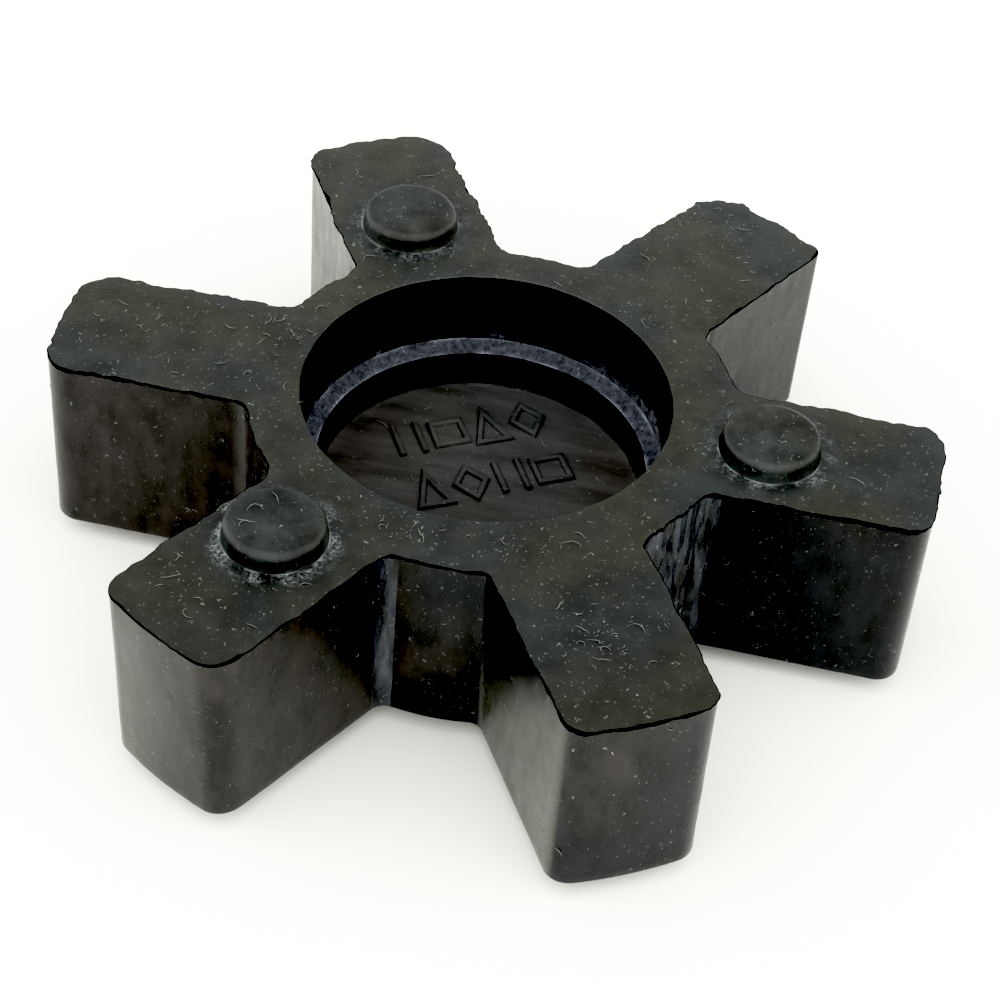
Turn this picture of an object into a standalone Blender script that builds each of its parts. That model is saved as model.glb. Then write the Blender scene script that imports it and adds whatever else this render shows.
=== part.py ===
"""Flexible insert (spider) of a six-legged jaw coupling, one rubber moulding.

Units are metres and +Z is the coupling's axis. The origin is on that axis, on the surface that the
insert rests on: the flat ends of its three lower nubs. Leg 0 points along +X and the legs follow each
other anticlockwise, seen from above.

The real piece is a single shot of rubber, so it is a single solid here: a flat body with six legs
around a hub ring, three spacer nubs on every second leg of the upper face, three on the other legs of
the lower face, a deep stepped recess in the upper face and a plain shallow one in the lower face, with
a thin web between them.
"""

from math import atan2, cos, pi, sin, sqrt

import bmesh
import bpy
from mathutils import Matrix, Vector

# Body
LEG_COUNT = 6
LEG_PITCH = 2 * pi / LEG_COUNT
OUTER_RADIUS = 0.0320          # leg ends, a 64 mm size
LEG_HALF_WIDTH = 0.0054        # half of the width between two flanks that the jaws bear on
HUB_RADIUS = 0.0176            # floor of the pockets between the legs
END_CORNER_RADIUS = 0.0018
ROOT_FILLET_RADIUS = 0.0022
BODY_THICKNESS = 0.0150
LOWER_EDGE_RADIUS = 0.0004     # the lower outline is eased, the upper one is a trimmed sharp edge

# Spacer nubs
NUB_HEIGHT = 0.0015
NUB_BASE_RADIUS = 0.00360
NUB_TOP_RADIUS = 0.00350       # before its edge is rounded
NUB_EDGE_RADIUS = 0.00070
NUB_PITCH_RADIUS = 0.0206
UPPER_NUB_LEGS = (0, 2, 4)
LOWER_NUB_LEGS = (1, 3, 5)

# Recesses
RIM_RADIUS = 0.0133            # mouth of either recess
RECESS_FOOT_RADIUS = 0.0131    # foot of its slightly tapered wall
LEDGE_INNER_RADIUS = 0.01205   # the upper recess has a sloping ledge, and a narrower well inside it
FLOOR_RADIUS = 0.0119
LEDGE_OUTER_DEPTH = 0.0058
LEDGE_INNER_DEPTH = 0.0065
UPPER_FLOOR_DEPTH = 0.0095
WEB_THICKNESS = 0.0024
LOWER_FLOOR_DEPTH = BODY_THICKNESS - UPPER_FLOOR_DEPTH - WEB_THICKNESS

# The upper half of the mould closed a little off the lower half, so what it forms is off by this much
UPPER_SHIFT = Vector((-0.00080, 0.00035, 0.0))

# Heights
BODY_BOTTOM = NUB_HEIGHT
BODY_TOP = BODY_BOTTOM + BODY_THICKNESS

# Fineness of the round stretches
END_ARC_STEPS = 4
CORNER_STEPS = 5
FILLET_STEPS = 5
HUB_ARC_STEPS = 3
RECESS_SIDES = 72
NUB_SIDES = 32
EDGE_STEPS = 3

# A tool reaches this far into, or out of, the face that it joins or cuts
TOOL_OVERLAP = 0.0010

RUBBER_COLOR = (0.040, 0.041, 0.037, 1.0)
RUBBER_ROUGHNESS = 0.62


def clear_scene():
    """Remove every object, so that the script starts from an empty scene."""
    for old in list(bpy.data.objects):
        bpy.data.objects.remove(old, do_unlink=True)


def arc(centre, radius, start, stop, steps):
    """Points on an arc about centre, both of its ends included."""
    angles = (start + (stop - start) * step / steps for step in range(steps + 1))
    return [(centre[0] + radius * cos(angle), centre[1] + radius * sin(angle)) for angle in angles]


def half_leg_outline():
    """Outline from the middle of a leg's end round to the middle of the next pocket, leg along +X."""
    corner_y = LEG_HALF_WIDTH - END_CORNER_RADIUS
    corner_x = sqrt((OUTER_RADIUS - END_CORNER_RADIUS) ** 2 - corner_y ** 2)
    corner_angle = atan2(corner_y, corner_x)
    fillet_y = LEG_HALF_WIDTH + ROOT_FILLET_RADIUS
    fillet_x = sqrt((HUB_RADIUS + ROOT_FILLET_RADIUS) ** 2 - fillet_y ** 2)
    fillet_angle = atan2(fillet_y, fillet_x)
    end = arc((0, 0), OUTER_RADIUS, 0, corner_angle, END_ARC_STEPS)
    corner = arc((corner_x, corner_y), END_CORNER_RADIUS, corner_angle, pi / 2, CORNER_STEPS)
    fillet = arc((fillet_x, fillet_y), ROOT_FILLET_RADIUS, 1.5 * pi, pi + fillet_angle, FILLET_STEPS)
    pocket = arc((0, 0), HUB_RADIUS, fillet_angle, LEG_PITCH / 2, HUB_ARC_STEPS)
    return end + corner[1:] + fillet + pocket[1:]


def body_outline():
    """The whole outline, anticlockwise, without repeated points."""
    half = half_leg_outline()
    mirrored = [(x, -y) for x, y in reversed(half)]
    leg = mirrored[1:] + half[1:]
    outline = []
    for index in range(LEG_COUNT):
        turn = Matrix.Rotation(index * LEG_PITCH, 2)
        outline += [turn @ Vector(point) for point in leg]
    return outline


def inset_outline(outline, distance):
    """The outline moved inwards by distance, along the normal at each of its points."""
    moved = []
    for index, point in enumerate(outline):
        along = outline[(index + 1) % len(outline)] - outline[index - 1]
        inward = Vector((-along.y, along.x)).normalized()
        moved.append(point + inward * distance)
    return moved


def make_object(name, mesh_builder):
    """Fill a mesh with mesh_builder, close it and link it as an object called name."""
    mesh = bpy.data.meshes.new(name)
    made = bmesh.new()
    mesh_builder(made)
    bmesh.ops.recalc_face_normals(made, faces=made.faces)
    made.to_mesh(mesh)
    made.free()
    obj = bpy.data.objects.new(name, mesh)
    bpy.context.scene.collection.objects.link(obj)
    return obj


def fill_rings(made, rings):
    """Join rings of points, lowest first, with quads, and cap the first and the last."""
    loops = [[made.verts.new(point) for point in ring] for ring in rings]
    for low, high in zip(loops, loops[1:]):
        for index in range(len(low)):
            following = (index + 1) % len(low)
            made.faces.new((low[index], low[following], high[following], high[index]))
    made.faces.new(reversed(loops[0]))
    made.faces.new(loops[-1])


def build_body(made):
    """The flat six-legged body, with its lower edge eased."""
    outline = body_outline()
    rings = []
    for step in range(EDGE_STEPS + 1):
        angle = step / EDGE_STEPS * pi / 2
        inset = inset_outline(outline, LOWER_EDGE_RADIUS * (1 - sin(angle)))
        height = BODY_BOTTOM + LOWER_EDGE_RADIUS * (1 - cos(angle))
        rings.append([(point.x, point.y, height) for point in inset])
    rings.append([(point.x, point.y, BODY_TOP) for point in outline])
    fill_rings(made, rings)


def turned(profile, sides):
    """A mesh builder that turns a profile of (radius, height) pairs, lowest first, about +Z."""
    def build(made):
        angles = [2 * pi * side / sides for side in range(sides)]
        fill_rings(made, [[(radius * cos(angle), radius * sin(angle), height) for angle in angles]
                          for radius, height in profile])
    return build


def nub_profile():
    """A nub standing on z = 0, rooted below it, with a small draft and a rounded upper edge."""
    round_centre = NUB_TOP_RADIUS - NUB_EDGE_RADIUS
    edge = []
    for step in range(EDGE_STEPS + 1):
        angle = step / EDGE_STEPS * pi / 2
        edge.append((round_centre + NUB_EDGE_RADIUS * cos(angle),
                     NUB_HEIGHT - NUB_EDGE_RADIUS + NUB_EDGE_RADIUS * sin(angle)))
    return [(NUB_BASE_RADIUS, -TOOL_OVERLAP), (NUB_BASE_RADIUS, 0)] + edge


def upper_recess_profile():
    """The stepped recess under a face at z = 0, from its floor up to a little above the face."""
    return [(FLOOR_RADIUS, -UPPER_FLOOR_DEPTH), (LEDGE_INNER_RADIUS, -LEDGE_INNER_DEPTH),
            (RECESS_FOOT_RADIUS, -LEDGE_OUTER_DEPTH), (RIM_RADIUS, 0), (RIM_RADIUS, TOOL_OVERLAP)]


def lower_recess_profile():
    """The plain recess, drawn under a face at z = 0 as well."""
    return [(RECESS_FOOT_RADIUS, -LOWER_FLOOR_DEPTH), (RIM_RADIUS, 0), (RIM_RADIUS, TOOL_OVERLAP)]


def make_tool(name, profile, sides, position, faces_down=False):
    """A hidden turned solid that the body is cut with or joined to."""
    tool = make_object(name, turned(profile, sides))
    tool.location = position
    if faces_down:
        tool.rotation_euler = (pi, 0, 0)
    tool.hide_render = True
    tool.display_type = "WIRE"
    return tool


def apply_tool(body, tool, operation):
    """Add an exact Boolean of the tool to the body."""
    modifier = body.modifiers.new(tool.name, "BOOLEAN")
    modifier.operation = operation
    modifier.solver = "EXACT"
    modifier.object = tool


def add_nubs(body):
    """Three nubs up and three down, on legs that alternate."""
    for leg in range(LEG_COUNT):
        angle = leg * LEG_PITCH
        place = Vector((NUB_PITCH_RADIUS * cos(angle), NUB_PITCH_RADIUS * sin(angle), 0))
        if leg in UPPER_NUB_LEGS:
            position = place + UPPER_SHIFT + Vector((0, 0, BODY_TOP))
            nub = make_tool(f"upper_nub_tool_{leg}", nub_profile(), NUB_SIDES, position)
        else:
            position = place + Vector((0, 0, BODY_BOTTOM))
            nub = make_tool(f"lower_nub_tool_{leg}", nub_profile(), NUB_SIDES, position, faces_down=True)
        apply_tool(body, nub, "UNION")


def cut_recesses(body):
    """The recess from above and the one from below, which leave the web."""
    upper = make_tool("upper_recess_tool", upper_recess_profile(), RECESS_SIDES,
                      UPPER_SHIFT + Vector((0, 0, BODY_TOP)))
    lower = make_tool("lower_recess_tool", lower_recess_profile(), RECESS_SIDES,
                      Vector((0, 0, BODY_BOTTOM)), faces_down=True)
    apply_tool(body, upper, "DIFFERENCE")
    apply_tool(body, lower, "DIFFERENCE")


def rubber():
    """Matt black-grey nitrile rubber."""
    material = bpy.data.materials.new("black_nitrile_rubber")
    material.use_nodes = True
    shader = material.node_tree.nodes["Principled BSDF"]
    shader.inputs["Base Color"].default_value = RUBBER_COLOR
    shader.inputs["Roughness"].default_value = RUBBER_ROUGHNESS
    shader.inputs["Metallic"].default_value = 0.0
    return material


def main():
    """Build the insert."""
    clear_scene()
    spider = make_object("spider", build_body)
    add_nubs(spider)
    cut_recesses(spider)
    spider.data.materials.append(rubber())


main()
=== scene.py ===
"""Looks of a jaw coupling's six-legged rubber spider, a single moulding seen from above.

The moulding is drawn again at full detail over its CAD solid: its moulded walls, the ragged line where
the flash was trimmed from its upper edge, the stepped recess, the nubs, the raised marks on its web, and
the lint and dust that rubber gathers. Lengths are in millimetres until a mesh is made.
"""

from __future__ import annotations

import logging
import math
import random
from dataclasses import dataclass, field
from enum import Enum
from typing import Any, Callable

import bpy
from mathutils import Matrix, Vector, geometry, noise

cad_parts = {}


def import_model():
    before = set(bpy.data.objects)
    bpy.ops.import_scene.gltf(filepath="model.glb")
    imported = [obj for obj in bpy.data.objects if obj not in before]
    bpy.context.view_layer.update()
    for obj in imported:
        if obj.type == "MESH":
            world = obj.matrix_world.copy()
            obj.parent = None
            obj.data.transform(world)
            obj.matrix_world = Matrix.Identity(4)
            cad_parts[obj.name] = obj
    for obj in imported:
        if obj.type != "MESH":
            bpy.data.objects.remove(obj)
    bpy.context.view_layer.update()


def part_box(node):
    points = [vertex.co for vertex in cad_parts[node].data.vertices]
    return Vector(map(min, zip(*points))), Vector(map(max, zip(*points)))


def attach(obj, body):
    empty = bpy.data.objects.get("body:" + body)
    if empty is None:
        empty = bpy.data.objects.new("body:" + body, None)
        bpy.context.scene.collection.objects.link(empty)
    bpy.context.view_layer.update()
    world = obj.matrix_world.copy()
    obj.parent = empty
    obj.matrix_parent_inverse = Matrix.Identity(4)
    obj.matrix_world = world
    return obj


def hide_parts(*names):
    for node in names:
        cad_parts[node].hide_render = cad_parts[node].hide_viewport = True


LOG = logging.getLogger("spider")
MILLIMETRE = 0.001
NODE = "spider"
BODY = "root"

Point2 = tuple[float, float]
Point3 = tuple[float, float, float]


# ---------------------------------------------------------------------------------------------------
# Small helpers
# ---------------------------------------------------------------------------------------------------

def linear(hex_colour: str) -> tuple[float, float, float, float]:
    """Turn an sRGB colour into the linear values that a shader takes.

    Args:
        hex_colour: Six hex digits, with or without a leading hash.

    Returns:
        Linear red, green and blue, and an alpha of one.
    """
    digits = hex_colour.lstrip("#")
    channels = []
    for start in (0, 2, 4):
        value = int(digits[start:start + 2], 16) / 255
        channels.append(value / 12.92 if value <= 0.04045 else ((value + 0.055) / 1.055) ** 2.4)
    return channels[0], channels[1], channels[2], 1.0


def add_node(tree: bpy.types.NodeTree, kind: str, settings: dict[str, Any] | None = None,
             inputs: dict[str | int, Any] | None = None) -> bpy.types.Node:
    """Add a node with its settings, its values and its links.

    Args:
        tree: The node tree that gets the node.
        kind: Blender's name for the type of node.
        settings: Attributes of the node, by name.
        inputs: A value or another node's output socket for each input, by name or number.

    Returns:
        The new node.
    """
    node = tree.nodes.new(kind)
    for name, value in (settings or {}).items():
        setattr(node, name, value)
    for name, value in (inputs or {}).items():
        if isinstance(value, bpy.types.NodeSocket):
            tree.links.new(value, node.inputs[name])
        else:
            node.inputs[name].default_value = value
    return node


def ripple(point: Point3, wavelength: float, seed: float = 0.0) -> float:
    """Smooth noise between about -1 and 1 at a point.

    Args:
        point: The place, in millimetres.
        wavelength: The size of one swell, in millimetres.
        seed: Moves the pattern, so that two of them differ.

    Returns:
        The noise there.
    """
    return noise.noise(Vector(point) / wavelength + Vector((seed, -seed, seed * 0.5)))


def smooth_step(low: float, high: float, value: float) -> float:
    """Rise smoothly from 0 at low to 1 at high."""
    amount = min(max((value - low) / (high - low), 0.0), 1.0)
    return amount * amount * (3 - 2 * amount)


# ---------------------------------------------------------------------------------------------------
# Finishes
# ---------------------------------------------------------------------------------------------------

@dataclass(frozen=True)
class DustRing:
    """Pale bloom along one round edge."""

    centre: Point2
    radius: float
    strength: float
    outward: bool = True          # which side of the edge it lies on


@dataclass(frozen=True)
class DustRings:
    """Bloom along round edges: a thin broken line at the edge and a cloud that thins away from it."""

    rings: tuple[DustRing, ...]
    line_width: float = 0.13
    reach: float = 1.5
    cloud_size: float = 1.5       # patches in the cloud
    grain_size: float = 0.20      # its crumbs
    slate_reach: float = 3.2      # how far the cooler, cleaner rubber beside an edge goes

    def distance(self, tree: bpy.types.NodeTree, flat: bpy.types.NodeSocket,
                 ring: DustRing) -> bpy.types.NodeSocket:
        """Build the distance from a ring's edge.

        Args:
            tree: The material's node tree.
            flat: Object coordinates in millimetres, with no height.
            ring: The ring.

        Returns:
            The distance on the bloom's side of the edge, in millimetres.
        """
        from_axis = add_node(tree, "ShaderNodeVectorMath", {"operation": "DISTANCE"},
                             {0: flat, 1: (ring.centre[0], ring.centre[1], 0)}).outputs["Value"]
        side = 1 if ring.outward else -1
        return add_node(tree, "ShaderNodeMath", {"operation": "MULTIPLY_ADD"},
                        {0: from_axis, 1: side, 2: -side * ring.radius}).outputs[0]

    def build(self, tree: bpy.types.NodeTree, place: bpy.types.NodeSocket
              ) -> tuple[bpy.types.NodeSocket, bpy.types.NodeSocket]:
        """Build the bloom and the slate tint over the face.

        Args:
            tree: The material's node tree.
            place: Object coordinates in millimetres.

        Returns:
            How much bloom there is and how much slate tint, each from 0 to 1.
        """
        flat = add_node(tree, "ShaderNodeVectorMath", {"operation": "MULTIPLY"},
                        {0: place, 1: (1, 1, 0)}).outputs[0]
        clouds = add_node(tree, "ShaderNodeTexNoise", None,
                          {"Vector": place, "Scale": 1 / self.cloud_size, "Detail": 2.0}).outputs["Fac"]
        cloud = add_node(tree, "ShaderNodeMapRange", None,
                         {"Value": clouds, "From Min": 0.40, "From Max": 0.62}).outputs[0]
        crumbs = add_node(tree, "ShaderNodeTexNoise", None,
                          {"Vector": place, "Scale": 1 / self.grain_size, "Detail": 2.0,
                           "Roughness": 0.7}).outputs["Fac"]
        crumb = add_node(tree, "ShaderNodeMapRange", None,
                         {"Value": crumbs, "From Min": 0.42, "From Max": 0.70}).outputs[0]
        powder = add_node(tree, "ShaderNodeMath", {"operation": "MULTIPLY"}, {0: cloud, 1: crumb}).outputs[0]
        bloom = None
        slate = None
        for ring in self.rings:
            distance = self.distance(tree, flat, ring)
            line = add_node(tree, "ShaderNodeMapRange", {"interpolation_type": "SMOOTHSTEP"},
                            {"Value": distance, "From Min": 0.0, "From Max": self.line_width,
                             "To Min": 0.30 + 0.20 * ring.strength, "To Max": 0.0}).outputs[0]
            broken = add_node(tree, "ShaderNodeMath", {"operation": "MULTIPLY"},
                              {0: line, 1: cloud}).outputs[0]
            fading = add_node(tree, "ShaderNodeMapRange", {"interpolation_type": "SMOOTHSTEP"},
                              {"Value": distance, "From Min": 0.0, "From Max": self.reach,
                               "To Min": 0.8 * ring.strength, "To Max": 0.0}).outputs[0]
            dust_and_sheen = add_node(tree, "ShaderNodeMath", {"operation": "MULTIPLY"},
                             {0: fading, 1: powder}).outputs[0]
            both = add_node(tree, "ShaderNodeMath", {"operation": "MAXIMUM"},
                            {0: broken, 1: dust_and_sheen}).outputs[0]
            near = add_node(tree, "ShaderNodeMapRange", {"interpolation_type": "SMOOTHSTEP"},
                            {"Value": distance, "From Min": 0.0, "From Max": self.slate_reach,
                             "To Min": 1.0, "To Max": 0.0}).outputs[0]
            bloom = both if bloom is None else add_node(
                tree, "ShaderNodeMath", {"operation": "MAXIMUM"}, {0: bloom, 1: both}).outputs[0]
            slate = near if slate is None else add_node(
                tree, "ShaderNodeMath", {"operation": "MAXIMUM"}, {0: slate, 1: near}).outputs[0]
        return bloom, slate


@dataclass(frozen=True)
class NitrileRubber:
    """Black nitrile rubber, in one of the surfaces that its mould and its trimming leave.

    Carbon black makes it nearly as dark as a real thing gets, so what the eye sees is mostly the gloss.
    """

    name: str
    colour: str = "#12110f"
    second_colour: str = "#0e1012"     # the cooler black that it drifts to
    drift_size: float = 9.0            # how slowly it drifts, in millimetres
    painted_shade_slope: Point3 = (0.0, 0.0, 0.0)   # and a steady lean of that drift toward the cooler black, per millimetre: painted shade
    cool_offset: float = 0.0
    painted_sheen_way: Point3 = (0.0, 0.0, 0.0)    # walls that face this way get a painted sheen, in the colour below
    painted_sheen_colour: str = "#474743"
    roughness: float = 0.17
    roughness_spread: float = 0.05
    gloss: float = 0.5
    cloudiness: float = 1.7            # how much paler the cloudy patches are
    blotch_size: float = 2.6           # cloudy patches
    grain_size: float = 0.30           # the mould's texture, drawn coarser than its grit to show
    grain_height: float = 0.012
    swell_size: float = 2.2            # slow waviness
    swell_height: float = 0.05
    stretch: Point3 = (1.0, 1.0, 1.0)  # of the grain, the swell and the patches
    fleck_colour: str = "#8f9690"
    fleck_size: float = 0.28
    fleck_share: float = 0.0           # 0 for none, up to about 0.2
    bloom_colour: str = "#aab2b4"
    painted_light_back: float = 0.0            # share of painted light by which the colour pales toward the back and darkens toward the front
    rings: DustRings | None = None

    def build(self) -> bpy.types.Material:
        """Make the Blender material.

        Returns:
            The material, with its nodes.
        """
        material = bpy.data.materials.new(self.name)
        material.use_nodes = True
        tree = material.node_tree
        shader = tree.nodes["Principled BSDF"]
        shader.inputs["IOR"].default_value = 1.52
        shader.inputs["Specular IOR Level"].default_value = self.gloss
        place = add_node(tree, "ShaderNodeVectorMath", {"operation": "SCALE"},
                         {0: add_node(tree, "ShaderNodeTexCoord").outputs["Object"],
                          "Scale": 1 / MILLIMETRE}).outputs[0]
        drawn_out = add_node(tree, "ShaderNodeVectorMath", {"operation": "MULTIPLY"},
                             {0: place, 1: self.stretch}).outputs[0]
        blotches = add_node(tree, "ShaderNodeTexNoise", None,
                            {"Vector": drawn_out, "Scale": 1 / self.blotch_size, "Detail": 5.0,
                             "Roughness": 0.65}).outputs["Fac"]
        self._dress_colour(tree, shader, place, blotches)
        roughness = add_node(tree, "ShaderNodeMapRange", None,
                             {"Value": blotches, "From Min": 0.3, "From Max": 0.7,
                              "To Min": self.roughness - self.roughness_spread,
                              "To Max": self.roughness + self.roughness_spread}).outputs[0]
        tree.links.new(roughness, shader.inputs["Roughness"])
        self._dress_relief(tree, shader, drawn_out)
        return material

    def _dress_colour(self, tree: bpy.types.NodeTree, shader: bpy.types.Node,
                      place: bpy.types.NodeSocket, blotches: bpy.types.NodeSocket) -> None:
        """Link the base colour: two drifting blacks with any painted shade, cloudy patches, any painted
        sheen, any painted light toward the back, pale flecks and any bloom.

        Args:
            tree: The material's node tree.
            shader: The shader that takes the colour.
            place: Object coordinates in millimetres.
            blotches: Cloudy noise.
        """
        drifting = add_node(tree, "ShaderNodeTexNoise", None,
                            {"Vector": place, "Scale": 1 / self.drift_size, "Detail": 2.0}).outputs["Fac"]
        # Painted shade: a steady lean toward the cooler, darker black, toward the bottom and toward +X.
        lean = add_node(tree, "ShaderNodeVectorMath", {"operation": "DOT_PRODUCT"},
                        {0: place, 1: self.painted_shade_slope}).outputs["Value"]
        drift_and_painted_shade = add_node(tree, "ShaderNodeMath", {"operation": "ADD"}, {0: drifting, 1: lean}).outputs[0]
        cool = add_node(tree, "ShaderNodeMapRange", None,
                        {"Value": drift_and_painted_shade, "From Min": 0.40 - self.cool_offset,
                         "From Max": 0.60 - self.cool_offset}).outputs[0]
        bloom = None
        if self.rings is not None:
            bloom, slate = self.rings.build(tree, place)
            cool = add_node(tree, "ShaderNodeMath", {"operation": "MAXIMUM"}, {0: cool, 1: slate}).outputs[0]
        colour = add_node(tree, "ShaderNodeMix", {"data_type": "RGBA"},
                          {0: cool, 6: linear(self.colour), 7: linear(self.second_colour)}).outputs[2]
        gain = add_node(tree, "ShaderNodeMapRange", None,
                        {"Value": blotches, "From Min": 0.35, "From Max": 0.68,
                         "To Min": 1 / self.cloudiness, "To Max": self.cloudiness}).outputs[0]
        colour = add_node(tree, "ShaderNodeVectorMath", {"operation": "SCALE"},
                          {0: colour, "Scale": gain}).outputs[0]
        # A painted sheen, paler than the rubber, on the walls that face one way.
        if any(self.painted_sheen_way):
            facing = add_node(tree, "ShaderNodeVectorMath", {"operation": "DOT_PRODUCT"},
                              {0: add_node(tree, "ShaderNodeTexCoord").outputs["Normal"],
                               1: self.painted_sheen_way}).outputs["Value"]
            dust_and_sheen = add_node(tree, "ShaderNodeMapRange", {"interpolation_type": "SMOOTHSTEP"},
                             {"Value": facing, "From Min": 0.80, "From Max": 0.98}).outputs[0]
            # The painted sheen: on the front leg only low down and toward the tip, and in full toward the
            # back.
            tipward = add_node(tree, "ShaderNodeVectorMath", {"operation": "DOT_PRODUCT"},
                               {0: place, 1: (0.0, 0.88, 1.0)}).outputs["Value"]
            low = add_node(tree, "ShaderNodeMapRange", {"interpolation_type": "SMOOTHSTEP"},
                           {"Value": tipward, "From Min": -11.5, "From Max": -4.5, "To Min": 1.0,
                            "To Max": 0.0}).outputs[0]
            back = add_node(tree, "ShaderNodeMapRange", None,
                            {"Value": add_node(tree, "ShaderNodeSeparateXYZ", None,
                                               {0: place}).outputs["Y"],
                             "From Min": -5.0, "From Max": 5.0}).outputs[0]
            sheen_share = add_node(tree, "ShaderNodeMath", {"operation": "MAXIMUM"}, {0: low, 1: back}).outputs[0]
            dust_and_sheen = add_node(tree, "ShaderNodeMath", {"operation": "MULTIPLY"},
                             {0: dust_and_sheen, 1: sheen_share}).outputs[0]
            colour = add_node(tree, "ShaderNodeMix", {"data_type": "RGBA"},
                              {0: dust_and_sheen, 6: colour, 7: linear(self.painted_sheen_colour)}).outputs[2]
        # Painted light: the colour pales toward the back and darkens toward the front.
        if self.painted_light_back > 0:
            depth = add_node(tree, "ShaderNodeSeparateXYZ", None, {0: place}).outputs["Y"]
            pale = add_node(tree, "ShaderNodeMapRange", None,
                            {"Value": depth, "From Min": -25.0, "From Max": 25.0,
                             "To Min": 1 - self.painted_light_back, "To Max": 1 + self.painted_light_back}).outputs[0]
            colour = add_node(tree, "ShaderNodeVectorMath", {"operation": "SCALE"},
                              {0: colour, "Scale": pale}).outputs[0]
        if self.fleck_share > 0:
            scraps = add_node(tree, "ShaderNodeTexNoise", None,
                              {"Vector": place, "Scale": 1 / self.fleck_size, "Detail": 1.0,
                               "Distortion": 1.2}).outputs["Fac"]
            fleck = add_node(tree, "ShaderNodeMapRange", None,
                             {"Value": scraps, "From Min": 0.74 - self.fleck_share,
                              "From Max": 0.82 - self.fleck_share, "To Min": 0.0,
                              "To Max": 0.5}).outputs[0]
            colour = add_node(tree, "ShaderNodeMix", {"data_type": "RGBA"},
                              {0: fleck, 6: colour, 7: linear(self.fleck_colour)}).outputs[2]
        if bloom is not None:
            colour = add_node(tree, "ShaderNodeMix", {"data_type": "RGBA"},
                              {0: bloom, 6: colour, 7: linear(self.bloom_colour)}).outputs[2]
        tree.links.new(colour, shader.inputs["Base Color"])

    def _dress_relief(self, tree: bpy.types.NodeTree, shader: bpy.types.Node,
                      drawn_out: bpy.types.NodeSocket) -> None:
        """Link the fine relief: slow waviness under the mould's grain.

        Args:
            tree: The material's node tree.
            shader: The shader that takes the normal.
            drawn_out: Stretched object coordinates in millimetres.
        """
        swell = add_node(tree, "ShaderNodeTexNoise", None,
                         {"Vector": drawn_out, "Scale": 1 / self.swell_size, "Detail": 2.0}).outputs["Fac"]
        wavy = add_node(tree, "ShaderNodeBump", None,
                        {"Height": swell, "Strength": 1.0,
                         "Distance": self.swell_height * MILLIMETRE}).outputs[0]
        grain = add_node(tree, "ShaderNodeTexNoise", None,
                         {"Vector": drawn_out, "Scale": 1 / self.grain_size, "Detail": 3.0,
                          "Roughness": 0.6}).outputs["Fac"]
        bumped = add_node(tree, "ShaderNodeBump", None,
                          {"Height": grain, "Strength": 1.0, "Normal": wavy,
                           "Distance": self.grain_height * MILLIMETRE}).outputs[0]
        tree.links.new(bumped, shader.inputs["Normal"])


@dataclass(frozen=True)
class DryFluff:
    """Cotton lint and dust: matt off-white scraps that catch the light on black rubber."""

    name: str
    colour: str = "#b4b6b0"
    roughness: float = 0.9
    patch_size: float = 1.1

    def build(self) -> bpy.types.Material:
        """Make the Blender material.

        Returns:
            The material, with its nodes.
        """
        material = bpy.data.materials.new(self.name)
        material.use_nodes = True
        tree = material.node_tree
        shader = tree.nodes["Principled BSDF"]
        shader.inputs["Roughness"].default_value = self.roughness
        place = add_node(tree, "ShaderNodeTexCoord").outputs["Object"]
        patches = add_node(tree, "ShaderNodeTexNoise", None,
                           {"Vector": place, "Scale": 1 / (self.patch_size * MILLIMETRE)}).outputs["Fac"]
        bright = linear(self.colour)
        dull = tuple(channel * 0.35 for channel in bright[:3]) + (1.0,)
        colour = add_node(tree, "ShaderNodeMix", {"data_type": "RGBA"},
                          {0: patches, 6: dull, 7: bright}).outputs[2]
        tree.links.new(colour, shader.inputs["Base Color"])
        return material


# ---------------------------------------------------------------------------------------------------
# Mesh drafting
# ---------------------------------------------------------------------------------------------------

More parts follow.
